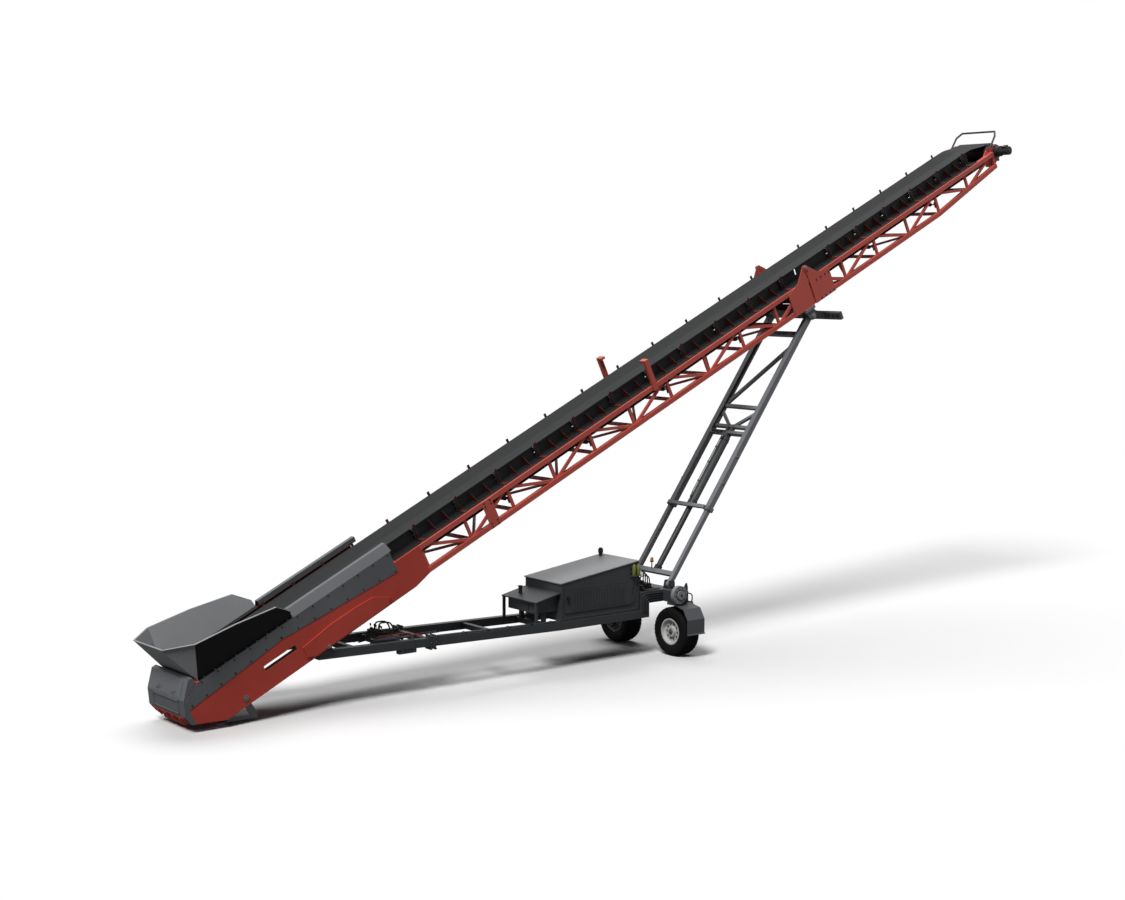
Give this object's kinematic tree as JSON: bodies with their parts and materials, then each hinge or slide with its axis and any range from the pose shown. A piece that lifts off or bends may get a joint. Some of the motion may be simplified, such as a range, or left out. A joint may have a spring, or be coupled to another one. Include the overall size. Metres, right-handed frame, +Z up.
{
  "type": "radial stacker conveyor",
  "caption": "Wheeled radial stacker: a folding lattice conveyor boom with troughed belt and tail hopper, raised on a telescopic leg frame over a drawbar with a power pack",
  "frame": {"origin": "centre of the tail pivot base on the ground", "axes": "X runs from the tail pivot towards the discharge head, Y to the left seen from the tail, Z up"},
  "size_m": [22.8794, 3.18, 11.7147],
  "materials": {
    "red_paint": "satin",
    "charcoal_paint": "satin",
    "cover_grey": "satin",
    "hood_grey": "satin",
    "belt_rubber": "matt",
    "tyre_rubber": "matt",
    "rim_paint": "gloss",
    "roller_steel": "satin",
    "base_steel": "satin",
    "ram_paint": "gloss",
    "ram_sleeve": "satin",
    "engine_iron": "cast",
    "light_bar_grey": "satin"
  },
  "bodies": {
    "chassis": {"drawbar_beams": "charcoal_paint", "drawbar_cross_members": "charcoal_paint", "axle_beam": "charcoal_paint", "leg_pedestals": "charcoal_paint", "pack_floor": "charcoal_paint", "pack_housing": "charcoal_paint", "pack_hood": "hood_grey", "engine_block": "engine_iron", "front_tank": "charcoal_paint", "valve_bank": "roller_steel", "exhaust_stack": "roller_steel", "drive_gear_cases": "roller_steel"},
    "pack_door": {"pack_door": "charcoal_paint"},
    "carrier_near": {"wheel_carrier_near": "charcoal_paint", "mudguard_near": "charcoal_paint"},
    "carrier_far": {"wheel_carrier_far": "charcoal_paint", "mudguard_far": "charcoal_paint"},
    "wheel_near": {"tyre_near": "tyre_rubber", "rim_near": "rim_paint"},
    "wheel_far": {"tyre_far": "tyre_rubber", "rim_far": "rim_paint"},
    "boom": {"tail_frame": "red_paint", "side_covers": "cover_grey", "tail_guard": "cover_grey", "hopper": "hood_grey", "skirts": "hood_grey", "main_truss": "red_paint", "splice_plates": "red_paint", "tail_pulley": "roller_steel", "carry_idlers_main": "roller_steel", "return_rollers_main": "roller_steel", "belt_shields_main": "roller_steel", "belt_main": "belt_rubber", "fold_plates_main": "red_paint", "rest_posts": "red_paint", "leg_brackets": "charcoal_paint", "light_bar": "light_bar_grey"},
    "head_section": {"head_truss": "red_paint", "fold_plates_head": "red_paint", "head_pulley": "roller_steel", "head_bearing_plates": "red_paint", "head_motor": "roller_steel", "head_guard": "hood_grey", "belt_head": "belt_rubber", "carry_idlers_head": "roller_steel", "return_rollers_head": "roller_steel", "belt_shields_head": "roller_steel"},
    "leg_lower": {"leg_inner_frame": "charcoal_paint", "cylinder_rod": "ram_sleeve"},
    "leg_upper": {"leg_outer_frame": "charcoal_paint", "cylinder_barrel": "ram_paint"},
    "tail_yoke": {"tail_yoke": "base_steel"},
    "pivot_base": {"pivot_base": "base_steel"}
  },
  "joints": [
    {"name": "boom_raise", "type": "hinge", "parent": "chassis", "child": "boom", "pos_m": [1.76, 0, 1.25], "axis": [0, -1, 0], "range_deg": [-13, 0]},
    {"name": "head_fold", "type": "hinge", "parent": "boom", "child": "head_section", "pos_m": [14.31759, 0, 8.34121], "axis": [0, 1, 0], "range_deg": [-179.5, 0]},
    {"name": "leg_swing", "type": "hinge", "parent": "chassis", "child": "leg_lower", "pos_m": [10.43, 0, 1.485], "axis": [0, -1, 0], "range_deg": [-26.6, 0]},
    {"name": "leg_extend", "type": "slide", "parent": "leg_lower", "child": "leg_upper", "axis": [0.5896, 0, 0.8077], "range_m": [-1.252, 0]},
    {"name": "yoke_level", "type": "hinge", "parent": "boom", "child": "tail_yoke", "pos_m": [0, 0, 0.5], "axis": [0, -1, 0], "range_deg": [0, 13.1]},
    {"name": "base_turn", "type": "hinge", "parent": "tail_yoke", "child": "pivot_base", "pos_m": [0, 0, 0.06], "axis": [0, 0, 1], "continuous": true},
    {"name": "carrier_swing_near", "type": "hinge", "parent": "chassis", "child": "carrier_near", "pos_m": [10.35, -0.95, 1.15], "axis": [0, 0, -1], "range_deg": [-90, 0]},
    {"name": "carrier_swing_far", "type": "hinge", "parent": "chassis", "child": "carrier_far", "pos_m": [10.35, 0.95, 1.15], "axis": [0, 0, -1], "range_deg": [-90, 0]},
    {"name": "wheel_spin_near", "type": "hinge", "parent": "carrier_near", "child": "wheel_near", "pos_m": [10.35, -0.95, 0.53], "axis": [1, 0, 0], "continuous": true},
    {"name": "wheel_spin_far", "type": "hinge", "parent": "carrier_far", "child": "wheel_far", "pos_m": [10.35, 0.95, 0.53], "axis": [1, 0, 0], "continuous": true},
    {"name": "pack_door_open", "type": "hinge", "parent": "chassis", "child": "pack_door", "pos_m": [9.362, -0.634, 1.44], "axis": [0, 0, 1], "range_deg": [0, 90]}
  ],
  "couplings": [
    {"joint": "leg_swing", "follows": "boom_raise", "ratio": 2.0325},
    {"joint": "leg_extend", "follows": "boom_raise", "m_per_rad": 5.4968},
    {"joint": "yoke_level", "follows": "boom_raise", "ratio": -1}
  ]
}
